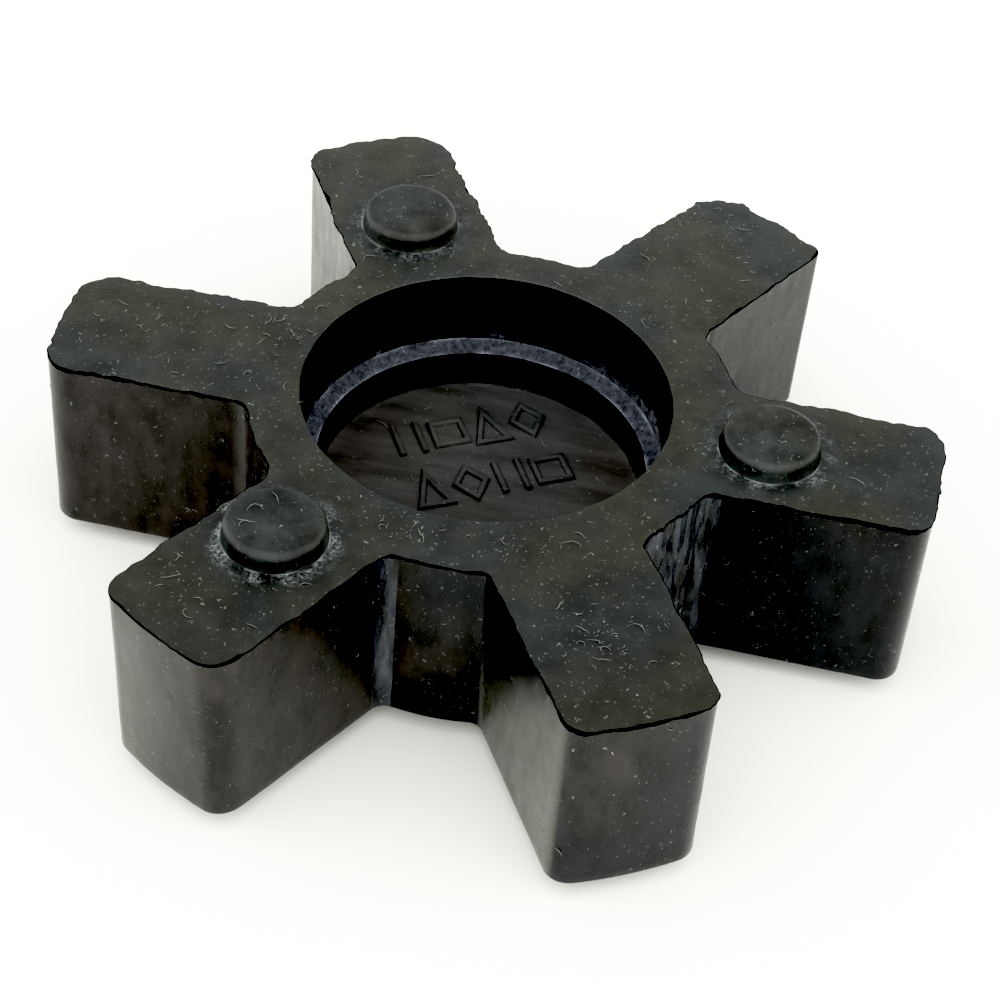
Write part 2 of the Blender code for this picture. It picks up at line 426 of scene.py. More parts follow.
@dataclass
class MeshDraft:
    """Points and faces gathered in millimetres before they become one object."""

    points: list[Point3] = field(default_factory=list)
    faces: list[tuple[int, ...]] = field(default_factory=list)
    slots: list[int] = field(default_factory=list)

    def ring(self, points: list[Point3]) -> list[int]:
        """Add a row of points and return their numbers."""
        first = len(self.points)
        self.points.extend(points)
        return list(range(first, first + len(points)))

    def face(self, corners: tuple[int, ...], slot: int) -> None:
        """Add one face with its material slot."""
        self.faces.append(corners)
        self.slots.append(slot)

    def bridge(self, below: list[int], above: list[int], slots: list[int] | int) -> None:
        """Join two closed rows with quads that face away from a row that runs anticlockwise.

        Args:
            below: The lower row.
            above: The upper row, as long as the lower one.
            slots: One material slot, or one for each quad.
        """
        count = len(below)
        for index in range(count):
            after = (index + 1) % count
            slot = slots if isinstance(slots, int) else slots[index]
            self.face((below[index], below[after], above[after], above[index]), slot)

    def fill(self, loops: list[list[int]], inner: list[Point2], keep: Callable[[float, float], bool],
             height: Callable[[float, float], float], slot: int, faces_up: bool) -> None:
        """Fill a flat region between closed rows with triangles.

        Args:
            loops: The closed rows that bound it, all anticlockwise, with the outer one first.
            inner: Points to use inside it.
            keep: Says whether a place is in the region.
            height: The region's height at a place.
            slot: Its material slot.
            faces_up: Whether it faces up, and not down.
        """
        flat: list[Vector] = []
        numbers: list[int | None] = []
        edges: list[tuple[int, int]] = []
        for loop in loops:
            first = len(flat)
            flat.extend(Vector(self.points[number][:2]) for number in loop)
            numbers.extend(loop)
            edges.extend((first + step, first + (step + 1) % len(loop)) for step in range(len(loop)))
        flat.extend(Vector(point) for point in inner)
        numbers.extend([None] * len(inner))
        made, _, triangles, origins, _, _ = geometry.delaunay_2d_cdt(flat, edges, [], 1, 1e-6, True)
        known: dict[int, int] = {}
        for index, place in enumerate(made):
            number = next((numbers[old] for old in origins[index] if numbers[old] is not None), None)
            if number is None:
                number = len(self.points)
                self.points.append((place.x, place.y, height(place.x, place.y)))
            known[index] = number
        rim = set(loops[0])
        for triangle in triangles:
            a, b, c = (made[index] for index in triangle)
            centre = (a + b + c) / 3
            upward = (b - a).cross(c - a) > 0
            corners = tuple(known[index] for index in (triangle if upward else triangle[::-1]))
            longest = max((b - a).length, (c - b).length, (a - c).length)
            # Only such triangles can lie in a bay outside the outer row.
            doubtful = longest > 1.6 or rim.issuperset(corners)
            if doubtful and not self.encloses(loops[0], centre.x, centre.y):
                continue
            if keep(centre.x, centre.y):
                self.face(corners if faces_up else corners[::-1], slot)

    def encloses(self, loop: list[int], x: float, y: float) -> bool:
        """Say whether a closed row goes round a place, by counting crossings to its right.

        Args:
            loop: The row.
            x: The place's first coordinate.
            y: The place's second coordinate.

        Returns:
            Whether the place is inside.
        """
        inside = False
        before = self.points[loop[-1]]
        for number in loop:
            after = self.points[number]
            if (before[1] > y) != (after[1] > y):
                crossing = before[0] + (y - before[1]) / (after[1] - before[1]) * (after[0] - before[0])
                inside ^= crossing > x
            before = after
        return inside

    def build(self, name: str, finishes: list[bpy.types.Material], crease: float = 40.0
              ) -> bpy.types.Object:
        """Make the object.

        Args:
            name: The object's name.
            finishes: The materials, in the order of their slots.
            crease: Edges sharper than this many degrees stay sharp.

        Returns:
            The object, linked to the scene.
        """
        mesh = bpy.data.meshes.new(name)
        mesh.from_pydata([Vector(point) * MILLIMETRE for point in self.points], [], self.faces)
        for finish in finishes:
            mesh.materials.append(finish)
        mesh.polygons.foreach_set("material_index", self.slots)
        mesh.polygons.foreach_set("use_smooth", [True] * len(self.faces))
        mesh.validate()
        mesh.update()
        mesh.set_sharp_from_angle(angle=math.radians(crease))
        piece = bpy.data.objects.new(name, mesh)
        bpy.context.scene.collection.objects.link(piece)
        return piece


# ---------------------------------------------------------------------------------------------------
# The spider's outline
# ---------------------------------------------------------------------------------------------------

class Zone(Enum):
    """The stretches of wall round the spider."""

    END = "end of a leg"
    CORNER = "rounded corner of a leg"
    FLANK = "flat side of a leg"
    ROOT = "fillet where a leg meets the hub"
    HUB = "hub wall between two legs"


@dataclass(frozen=True)
class WallPoint:
    """A place on the outline, with the way its wall faces."""

    x: float
    y: float
    out_x: float
    out_y: float
    zone: Zone
    leg: int
    side: int       # 1 on the anticlockwise side of the leg, -1 on the other
    reach: float    # 1 out on the leg, falling to 0 at the hub


HUB_TRIM = 0.6          # how torn and ragged the trimming left the hub, against a leg's own amount


@dataclass(frozen=True)
class LegShape:
    """How one leg came out of the mould and the trimming, against its nominal shape.

    Each flank's pair is how far it stands out at the leg's root and at its tip; cw is the clockwise flank.
    """

    end: float = 0.0
    cw: Point2 = (0.0, 0.0)
    ccw: Point2 = (0.0, 0.0)
    cw_corner: float = 1.8
    ccw_corner: float = 1.8
    raggedness: float = 0.5
    torn: float = 1.0             # how far down its walls are torn, as a share of the deepest


@dataclass(frozen=True)
class BayShape:
    """The hub wall's radius and the fillets' radius in the bay on a leg's anticlockwise side."""

    hub_radius: float = 17.6
    root_radius: float = 1.8


@dataclass(frozen=True)
class SpiderOutline:
    """Six straight legs with rounded corners, filleted into a round hub."""

    outer_radius: float
    leg_half_width: float = 5.4
    step: float = 0.2
    legs: tuple[LegShape, ...] = (
        LegShape(end=-0.12, ccw=(0.20, 0.15), raggedness=0.65),
        LegShape(end=-0.55, cw=(0.37, 0.37), ccw=(-0.07, -0.70), cw_corner=1.2, ccw_corner=3.2,
                 raggedness=1.0, torn=0.5),
        LegShape(end=0.20, cw=(0.20, 0.12), ccw=(0.12, 0.12), cw_corner=3.2, ccw_corner=2.2,
                 raggedness=0.9, torn=0.6),
        LegShape(end=0.10, cw=(0.15, 0.05), cw_corner=2.8, raggedness=0.8, torn=0.8),
        LegShape(end=0.80, cw=(-0.13, -0.13), ccw=(0.13, 0.13), raggedness=0.55, torn=0.35),
        LegShape(end=-0.20, cw=(0.40, -0.17), ccw=(-0.17, -0.17), raggedness=0.5, torn=0.8),
    )
    bays: tuple[BayShape, ...] = (
        BayShape(17.45), BayShape(16.9), BayShape(17.25), BayShape(17.5), BayShape(17.55, 1.3),
        BayShape(16.85, 1.5),
    )

    def _half_leg(self, corner_radius: float, bay: BayShape
                  ) -> list[tuple[float, float, float, float, Zone, float]]:
        """Walk from the middle of a leg's end to the middle of the hub wall beside it.

        Args:
            corner_radius: Radius of the corner at the leg's end.
            bay: The bay that the walk ends in.

        Returns:
            Place, outward direction, zone and reach of each point, with the leg along +X.
        """
        inner_width = self.leg_half_width - corner_radius
        corner_x = math.sqrt((self.outer_radius - corner_radius) ** 2 - inner_width ** 2)
        root_y = self.leg_half_width + bay.root_radius
        root_x = math.sqrt((bay.hub_radius + bay.root_radius) ** 2 - root_y ** 2)
        corner_angle = math.atan2(inner_width, corner_x)
        root_angle = math.atan2(root_y, root_x)
        walk: list[tuple[float, float, float, float, Zone, float]] = []

        def along_arc(centre: Point2, radius: float, start: float, end: float, zone: Zone,
                      facing: int) -> None:
            """Add points round an arc, without its last one.

            Args:
                centre: The arc's centre.
                radius: Its radius.
                start: Its first angle.
                end: Its last angle.
                zone: What it is part of.
                facing: 1 if the wall faces away from the centre, -1 if it faces it.
            """
            count = max(4, round(abs(end - start) * radius / self.step))
            for index in range(count):
                share = index / count
                angle = start + (end - start) * share
                reach = {Zone.ROOT: 1 - share, Zone.HUB: 0.0}.get(zone, 1.0)
                walk.append((centre[0] + radius * math.cos(angle), centre[1] + radius * math.sin(angle),
                             facing * math.cos(angle), facing * math.sin(angle), zone, reach))

        along_arc((0, 0), self.outer_radius, 0, corner_angle, Zone.END, 1)
        along_arc((corner_x, inner_width), corner_radius, corner_angle, math.pi / 2, Zone.CORNER, 1)
        count = round((corner_x - root_x) / self.step)
        for index in range(count):
            x = corner_x + (root_x - corner_x) * index / count
            walk.append((x, self.leg_half_width, 0, 1, Zone.FLANK, 1.0))
        along_arc((root_x, root_y), bay.root_radius, 1.5 * math.pi, math.pi + root_angle, Zone.ROOT, -1)
        middle = math.pi / len(self.legs)
        along_arc((0, 0), bay.hub_radius, root_angle, middle, Zone.HUB, 1)
        walk.append((bay.hub_radius * math.cos(middle), bay.hub_radius * math.sin(middle),
                     math.cos(middle), math.sin(middle), Zone.HUB, 0.0))
        return walk

    def walk(self) -> list[WallPoint]:
        """Go once round the outline, anticlockwise.

        Returns:
            The points in order, from the hub wall clockwise of leg 0.
        """
        points = []
        for leg, shape in enumerate(self.legs):
            angle = 2 * math.pi * leg / len(self.legs)
            cos, sin = math.cos(angle), math.sin(angle)
            mirrored = [(x, -y, out_x, -out_y, zone, reach, -1) for x, y, out_x, out_y, zone, reach
                        in reversed(self._half_leg(shape.cw_corner, self.bays[leg - 1]))]
            straight = [place + (1,) for place in self._half_leg(shape.ccw_corner, self.bays[leg])]
            for x, y, out_x, out_y, zone, reach, side in mirrored[:-1] + straight[:-1]:
                points.append(WallPoint(x * cos - y * sin, x * sin + y * cos,
                                        out_x * cos - out_y * sin, out_x * sin + out_y * cos,
                                        zone, leg, side, reach))
        return points

    def drift(self, place: WallPoint) -> float:
        """How far the wall stands off its nominal place there, outward.

        Args:
            place: A point of the outline.

        Returns:
            The distance, in millimetres.
        """
        shape = self.legs[place.leg]
        angle = 2 * math.pi * place.leg / len(self.legs)
        far = smooth_step(15.0, 31.0, place.x * math.cos(angle) + place.y * math.sin(angle))
        along = place.out_x * math.cos(angle) + place.out_y * math.sin(angle)
        across = place.out_y * math.cos(angle) - place.out_x * math.sin(angle)
        root, tip = shape.ccw if place.side > 0 else shape.cw
        amount = (root + (tip - root) * far) * abs(across)
        if place.zone in (Zone.END, Zone.CORNER):
            amount += shape.end * along * along
            lean = (shape.ccw[1] - shape.cw[1]) / 2
            if place.zone is Zone.END:
                amount = shape.end * along * along + lean * across
        return amount * place.reach

    def contains(self, x: float, y: float, margin: float) -> bool:
        """Say whether a place is inside the outline by at least a margin.

        Args:
            x: The place's x.
            y: The place's y.
            margin: The distance to keep from the wall.

        Returns:
            Whether it is.
        """
        radius = math.hypot(x, y)
        if radius < min(bay.hub_radius for bay in self.bays) - margin:
            return True
        sector = 2 * math.pi / len(self.legs)
        angle = math.atan2(y, x)
        folded = angle - round(angle / sector) * sector
        return (abs(radius * math.sin(folded)) < self.leg_half_width - margin - 0.4
                and radius < self.outer_radius - margin - 0.9)


# ---------------------------------------------------------------------------------------------------
# The moulding
# ---------------------------------------------------------------------------------------------------

class Surface(Enum):
    """The moulding's surfaces, in the order of their material slots."""

    WALL = 0
    FACE = 1
    TORN = 2
    CRUMPLED = 3
    RECESS = 4
    GRAINED = 5
    LEDGE = 6
    WEB = 7
    NUB = 8


@dataclass(frozen=True)
class TrimLine:
    """The ragged edge left where the flash was cut from the upper face."""

    mean: float = 0.06
    swell: float = 0.18       # over about 3 mm
    tear: float = 0.26        # over about 1 mm
    nick: float = 0.13        # over about 0.4 mm
    step: float = 0.10        # sudden steps, every millimetre or so
    cell: float = 1.4
    near_side: float = 0.70   # how much of it is left on the side that the knife entered

    def overhang(self, place: WallPoint, travelled: float, raggedness: float) -> float:
        """How far the torn edge stands off the wall.

        Args:
            place: A point of the outline.
            travelled: The distance along the outline, in millimetres.
            raggedness: The leg's raggedness.

        Returns:
            The distance outward, in millimetres.
        """
        here = (place.x, place.y, 0.0)
        away = self.near_side + (1 - self.near_side) * smooth_step(-0.6, 0.7, place.out_y)
        cell = math.floor(travelled / self.cell + 0.6 * ripple(here, 2.1, 9.0))
        jump = random.Random(cell * 7 + 3).uniform(-1, 1)
        amount = (self.swell * ripple(here, 3.0, 1.0) * 1.6 + self.tear * ripple(here, 1.1, 2.0)
                  + self.nick * ripple(here, 0.42, 3.0) + self.step * jump)
        return self.mean + amount * away * raggedness


@dataclass
class Spider:
    """The one-piece rubber spider, drawn at full detail."""

    outline: SpiderOutline
    body_low: float
    body_high: float
    upper_shift: Point2 = (-0.72, 0.50)       # the upper mould half sat a little to one side
    rim_radius: float = 13.3
    rim_round: float = 0.14
    recess_foot: float = 13.1
    ledge_inner: float = 12.05
    ledge_outer_depth: float = 5.8
    ledge_inner_depth: float = 6.5
    floor_radius: float = 11.9
    floor_depth: float = 9.5
    web_thickness: float = 2.4
    nub_height: float = 1.5
    nub_foot: float = 3.60
    nub_top: float = 3.50
    nub_round: float = 0.60
    upper_nubs: tuple[Point2, ...] = ((19.74, 0.16), (-10.60, 18.05), (-11.16, -17.80))
    lower_nub_pitch: float = 20.6
    apron_radius: float = 4.2                 # the flat ring of face that each nub's mesh takes along
    lower_round: float = 0.15
    trim: TrimLine = field(default_factory=TrimLine)
    lip: float = 0.07                          # thickness of the torn lip
    torn_depth: float = 0.34                   # how far the torn band runs down the wall
    torn_least: float = 0.25                   # share of that depth where it is shallowest
    burr_height: float = 0.10                  # little burrs above the torn band
    wall_rows: int = 24
    crumpled_pocket: float = -30.0             # degrees, the pocket with a crumpled wall
    crumpled_reach: float = 18.5               # degrees to each side of it
    round_sides: int = 336
    draft: MeshDraft = field(default_factory=MeshDraft)

    def face_height(self, x: float, y: float) -> float:
        """Height of the upper face, which is not quite flat."""
        return self.body_high + 0.035 * ripple((x, y, 0), 4.5, 5.0) + 0.012 * ripple((x, y, 0), 1.2, 6.0)

    def lower_height(self, x: float, y: float) -> float:
        """Height of the lower face."""
        return self.body_low + 0.02 * ripple((x, y, 0), 5.0, 7.0)

    def crumple(self, place: WallPoint, height: float) -> float:
        """Depth of the upright folds in the crumpled pocket.

        Args:
            place: A point of the outline.
            height: The height on the wall.

        Returns:
            The distance outward, in millimetres.
        """
        bearing = math.degrees(math.atan2(place.y, place.x)) - self.crumpled_pocket
        amount = 1 - smooth_step(13.0, 17.5, abs(bearing))
        if place.zone is Zone.FLANK or amount <= 0:
            return 0.0
        lean = 0.12 * (height - self.body_low)
        along = bearing * 0.30 + lean * 0.35 + 0.25 * ripple((bearing * 0.3, height / 3.0, 0.0), 1.0, 19.0)
        folds = abs(ripple((along, height / 7.0, 0.0), 0.80, 11.0)) * 0.60
        fine = ripple((along, height / 3.5, 0.0), 0.36, 12.0) * 0.20
        calmer = 1 - 0.5 * smooth_step(self.body_high - 3.0, self.body_high, height)
        return -amount * (folds + fine - 0.15) * calmer

    def walls(self) -> tuple[list[int], list[int]]:
        """Draw the outer wall from the lower face to the upper one.

        Returns:
            The closed rows where the wall meets the lower and the upper face.
        """
        places = self.outline.walk()
        travelled = [0.0]
        for before, after in zip(places, places[1:]):
            travelled.append(travelled[-1] + math.hypot(after.x - before.x, after.y - before.y))
        height = self.body_high - self.body_low

        def row(inset: Callable[[int, WallPoint], float], level: Callable[[int, WallPoint], float]
                ) -> list[int]:
            """Add one row round the outline.

            Args:
                inset: The distance inward of each point.
                level: The height of each point.

            Returns:
                The row's point numbers.
            """
            points = []
            for index, place in enumerate(places):
                z = level(index, place)
                share = (z - self.body_low) / height
                here = (place.x, place.y, z)
                offset = (self.outline.drift(place) * (0.45 + 0.55 * share) - inset(index, place)
                          + 0.035 * ripple(here, 4.0, 13.0) + 0.012 * ripple(here, 1.1, 14.0)
                          + self.crumple(place, z))
                points.append((place.x + place.out_x * offset, place.y + place.out_y * offset, z))
            return self.draft.ring(points)

        rows = []
        for step in range(4):
            angle = step / 3 * math.pi / 2
            rows.append(row(lambda index, place, a=angle: self.lower_round * (1 - math.sin(a)),
                            lambda index, place, a=angle: self.body_low
                            + self.lower_round * (1 - math.cos(a))))
        torn_top = self.body_high - self.lip
        low = self.body_low + self.lower_round

        def torn_foot(place: WallPoint) -> float:
            """Height where the torn band ends."""
            here = (place.x, place.y, 0.0)
            torn = HUB_TRIM + (self.outline.legs[place.leg].torn - HUB_TRIM) * place.reach
            depth = self.torn_depth * torn
            wander = 0.9 + 0.9 * ripple(here, 1.7, 15.0) + 0.4 * ripple(here, 0.45, 16.0)
            return torn_top - depth * max(self.torn_least, wander)

        def burr(place: WallPoint, last: bool) -> float:
            """How far the wall's last row stands out in little burrs, as an inset."""
            if not last:
                return 0.0
            return -self.burr_height * max(0.0, ripple((place.x, place.y, 0.0), 0.9, 18.0))

        for step in range(1, self.wall_rows + 1):
            rows.append(row(lambda index, place, last=step == self.wall_rows: burr(place, last),
                            lambda index, place, s=step / self.wall_rows:
                            low + (torn_foot(place) - low) * s))
        clean_rows = len(rows)
        rows.append(row(lambda index, place: 0.10 + 0.05 * ripple((place.x, place.y, 1.0), 0.5, 17.0),
                        lambda index, place: torn_foot(place) + 0.03))
        rows.append(row(lambda index, place: 0.13, lambda index, place: torn_top - 0.01))
        edge = []
        for index, place in enumerate(places):
            ragged = HUB_TRIM + (self.outline.legs[place.leg].raggedness - HUB_TRIM) * place.reach
            edge.append(self.trim.overhang(place, travelled[index], ragged))
        rows.append(row(lambda index, place: -edge[index] * 0.9, lambda index, place: torn_top))
        rows.append(row(lambda index, place: -edge[index], lambda index, place:
                        self.face_height(place.x, place.y) - 0.03))
        rows.append(row(lambda index, place: -edge[index] + 0.07, lambda index, place:
                        self.face_height(place.x, place.y)))
        wall_slots = []
        for place in places:
            bearing = math.degrees(math.atan2(place.y, place.x)) - self.crumpled_pocket
            crumpled = abs(bearing) < self.crumpled_reach and place.zone is not Zone.FLANK
            # The fillet beside the front left leg wrinkled too, though not as deeply.
            wrinkled = place.zone is Zone.ROOT and (place.leg, place.side) == (4, 1)
            wall_slots.append((Surface.CRUMPLED if crumpled or wrinkled else Surface.WALL).value)
        for number, (below, above) in enumerate(zip(rows, rows[1:])):
            torn = number >= clean_rows - 1
            self.draft.bridge(below, above, Surface.TORN.value if torn else wall_slots)
        return rows[0], rows[-1]

    def circle(self, centre: Point2, radius: float, height: float | Callable[[float, float], float],
               sides: int, wobble: float = 0.0, seed: float = 0.0) -> list[int]:
        """Add a round row.

        Args:
            centre: Its centre.
            radius: Its radius.
            height: Its height, or what gives the height at a place.
            sides: How many points it has.
            wobble: How far its radius strays.
            seed: Moves the straying.

        Returns:
            The row's point numbers, anticlockwise.
        """
        points = []
        for side in range(sides):
            angle = 2 * math.pi * side / sides
            cos, sin = math.cos(angle), math.sin(angle)
            stray = wobble * ripple((centre[0] + radius * cos, centre[1] + radius * sin, seed), 1.6, seed)
            x = centre[0] + (radius + stray) * cos
            y = centre[1] + (radius + stray) * sin
            points.append((x, y, height(x, y) if callable(height) else height))
        return self.draft.ring(points)

    def nub(self, centre: Point2, upward: bool) -> list[int]:
        """Draw a nub with the apron of face round it.

        Args:
            centre: The nub's centre.
            upward: Whether it stands on the upper face.

        Returns:
            The apron's outer row.
        """
        sides = 112
        base = self.body_high if upward else self.body_low
        way = 1 if upward else -1
        surface = self.face_height if upward else self.lower_height
        rings = [(self.apron_radius, None), (self.nub_foot + 0.45, None), (self.nub_foot + 0.16, None),
                 (self.nub_foot + 0.05, 0.03), (self.nub_foot, 0.16)]
        straight_top = self.nub_height - self.nub_round
        rings.append(((self.nub_foot + self.nub_top) / 2, straight_top * 0.6))
        for step in range(5):
            angle = step / 4 * math.pi / 2
            rings.append((self.nub_top - self.nub_round * (1 - math.cos(angle)),
                          straight_top + self.nub_round * math.sin(angle)))
        rings.append((self.nub_top - self.nub_round - 0.7, self.nub_height - 0.01))
        rows = []
        for radius, rise in rings:
            height = surface if rise is None else base + way * rise
            rows.append(self.circle(centre, radius, height, sides, 0.0 if rise is None else 0.05, 21.0))
        for number, (outer, inner) in enumerate(zip(rows, rows[1:])):
            slot = (Surface.FACE if number < 3 else Surface.NUB).value
            if upward:
                self.draft.bridge(outer, inner, slot)
            else:
                self.draft.bridge(inner, outer, slot)
        top = base + way * (self.nub_height - 0.01)
        self.fill_disc(rows[-1], centre, rings[-1][0], lambda x, y: top + 0.015 * ripple((x, y, 0), 1.5, 8.0),
                       Surface.NUB.value, upward, 0.5)
        return rows[0]

    def fill_disc(self, row: list[int], centre: Point2, radius: float,
                  height: Callable[[float, float], float], slot: int, faces_up: bool,
                  spacing: float) -> None:
        """Fill a round row.

        Args:
            row: The row.
            centre: Its centre.
            radius: Its radius.
            height: The height at a place.
            slot: The material slot.
            faces_up: Whether the disc faces up.
            spacing: The distance between the points inside.
        """
        inner = [(x, y) for x, y in scattered(radius, spacing, 31)
                 if math.hypot(x, y) < radius - spacing * 0.6]
        inner = [(x + centre[0], y + centre[1]) for x, y in inner]
        self.draft.fill([row], inner, lambda x, y: True, height, slot, faces_up)

    def upper_recess(self) -> list[int]:
        """Draw the stepped recess down to the web.

        Returns:
            The row round its rim.
        """
        top = self.body_high
        centre = self.upper_shift
        sides = self.round_sides
        rows = [self.circle(centre, self.rim_radius + self.rim_round + 0.25, self.face_height, sides)]
        slots = []
        for step in range(4):
            angle = step / 3 * math.pi / 2
            radius = self.rim_radius + self.rim_round * (1 - math.sin(angle))
            rows.append(self.circle(centre, radius, top - self.rim_round * (1 - math.cos(angle)), sides,
                                    0.06, 22.0))
            slots.append(Surface.FACE.value)
        for step in range(1, 13):
            share = step / 12
            radius = self.rim_radius + (self.recess_foot - self.rim_radius) * share
            depth = self.rim_round + (self.ledge_outer_depth - self.rim_round) * share
            rows.append(self.circle(centre, radius, top - depth, sides, 0.05, 22.0))
            slots.append(self.recess_slots(step))
        for step in range(1, 7):
            share = step / 6
            radius = self.recess_foot + (self.ledge_inner - self.recess_foot) * share
            depth = self.ledge_outer_depth + (self.ledge_inner_depth - self.ledge_outer_depth) * share
            rows.append(self.circle(centre, radius, top - depth, sides, 0.06, 23.0))
            slots.append(Surface.LEDGE.value)
        foot = self.floor_depth - 0.2
        for step in range(1, 7):
            share = step / 6
            radius = self.ledge_inner + (self.floor_radius - self.ledge_inner) * share
            depth = self.ledge_inner_depth + (foot - self.ledge_inner_depth) * share
            rows.append(self.circle(centre, radius, top - depth, sides, 0.04, 24.0))
            slots.append(Surface.RECESS.value)
        rows.append(self.circle(centre, self.floor_radius - 0.07, top - self.floor_depth + 0.06, sides))
        rows.append(self.circle(centre, self.floor_radius - 0.25, top - self.floor_depth, sides))
        slots += [Surface.WEB.value] * 2
        for outer, inner, slot in zip(rows, rows[1:], slots):
            self.draft.bridge(outer, inner, slot)
        self.fill_disc(rows[-1], centre, self.floor_radius - 0.25, self.web_height,
                       Surface.WEB.value, True, 0.6)
        return rows[0]

    def recess_slots(self, step: int) -> list[int]:
        """Choose the surfaces round one band of the recess wall.

        Args:
            step: Which of the twelve bands, counted downward from 1.

        Returns:
            A slot for each side; the wall's foot is grained on the right.
        """
        slots = []
        for side in range(self.round_sides):
            bearing = (360 * side / self.round_sides + 180) % 360 - 180
            top_band = 10.6 + 1.3 * ripple((bearing * 0.25, 0.0, 0.0), 1.1, 31.0)
            top_band += 2.0 * smooth_step(30.0, 45.0, abs(bearing - 25.0))
            slots.append((Surface.GRAINED if step > top_band else Surface.RECESS).value)
        return slots

    def web_height(self, x: float, y: float) -> float:
        """Height of the web's upper side, a little wavy."""
        return self.body_high - self.floor_depth + 0.03 * ripple((x, y, 0), 3.5, 25.0)

    def lower_recess(self) -> list[int]:
        """Draw the plain recess under the web.

        Returns:
            The row round its rim.
        """
        sides = self.round_sides // 2
        depth = self.body_high - self.floor_depth - self.web_thickness - self.body_low
        rows = [self.circle((0, 0), self.rim_radius + 0.4, self.lower_height, sides),
                self.circle((0, 0), self.rim_radius + self.rim_round, self.body_low, sides),
                self.circle((0, 0), self.rim_radius, self.body_low + self.rim_round, sides)]
        for step in range(1, 6):
            share = step / 5
            radius = self.rim_radius + (self.recess_foot - self.rim_radius) * share
            rows.append(self.circle((0, 0), radius, self.body_low + self.rim_round
                                    + (depth - 0.3 - self.rim_round) * share, sides))
        rows.append(self.circle((0, 0), self.recess_foot - 0.1, self.body_low + depth - 0.08, sides))
        rows.append(self.circle((0, 0), self.recess_foot - 0.35, self.body_low + depth, sides))
        for number, (outer, inner) in enumerate(zip(rows, rows[1:])):
            self.draft.bridge(inner, outer, (Surface.WALL if number < 1 else Surface.RECESS).value)
        self.fill_disc(rows[-1], (0, 0), self.recess_foot - 0.35,
                       lambda x, y: self.body_low + depth, Surface.WEB.value, False, 1.2)
        return rows[0]

    def lower_nubs(self) -> list[Point2]:
        """Centres of the nubs under the other three legs."""
        angles = [math.radians(60 * leg) for leg in (1, 3, 5)]
        return [(self.lower_nub_pitch * math.cos(angle), self.lower_nub_pitch * math.sin(angle))
                for angle in angles]

    def build(self, finishes: list[bpy.types.Material]) -> bpy.types.Object:
        """Draw the whole moulding.

        Args:
            finishes: The materials, in the order of Surface.

        Returns:
            The moulding.
        """
        lower_edge, upper_edge = self.walls()
        for upward in (True, False):
            edge = upper_edge if upward else lower_edge
            centres = self.upper_nubs if upward else self.lower_nubs()
            holes = [self.nub(centre, upward) for centre in centres]
            middle = self.upper_shift if upward else (0.0, 0.0)
            holes.append(self.upper_recess() if upward else self.lower_recess())
            limits = [(centre, self.apron_radius) for centre in centres]
            limits.append((middle, self.rim_radius + (self.rim_round + 0.25 if upward else 0.4)))

            def on_face(x: float, y: float, gap: float = 0.0,
                        rounds: list[tuple[Point2, float]] = limits) -> bool:
                """Say whether a place is clear of the nubs and the recess."""
                return all(math.hypot(x - centre[0], y - centre[1]) > radius + gap
                           for centre, radius in rounds)

            spacing = 0.5 if upward else 1.0
            inner = [(x, y) for x, y in scattered(self.outline.outer_radius, spacing, 41)
                     if self.outline.contains(x, y, 0.75) and on_face(x, y, 0.3)]
            self.draft.fill([edge] + holes, inner, on_face,
                            self.face_height if upward else self.lower_height,
                            (Surface.FACE if upward else Surface.WALL).value, upward)
        return self.draft.build("spider_moulding", finishes)


def scattered(radius: float, spacing: float, seed: int) -> list[Point2]:
    """Spread points over a disc about the origin, on a slightly shaken triangular grid.

    Args:
        radius: The disc's radius.
        spacing: The distance between neighbours.
        seed: Fixes the shaking.

    Returns:
        The points.
    """
    chance = random.Random(seed)
    rows = int(radius / (spacing * 0.866)) + 1
    columns = int(radius / spacing) + 1
    points = []
    for row in range(-rows, rows + 1):
        for column in range(-columns, columns + 1):
            x = (column + 0.5 * (row % 2)) * spacing + chance.uniform(-0.15, 0.15) * spacing
            y = row * spacing * 0.866 + chance.uniform(-0.15, 0.15) * spacing
            if math.hypot(x, y) < radius:
                points.append((x, y))
    return points


# ---------------------------------------------------------------------------------------------------
# Raised marks on the web
# ---------------------------------------------------------------------------------------------------

class Mark(Enum):
    """Plain geometric marks, as outlines in a cell one unit high."""

    BARS = "two upright bars"
    SQUARE = "square"
    TRIANGLE = "triangle"
    DIAMOND = "diamond"


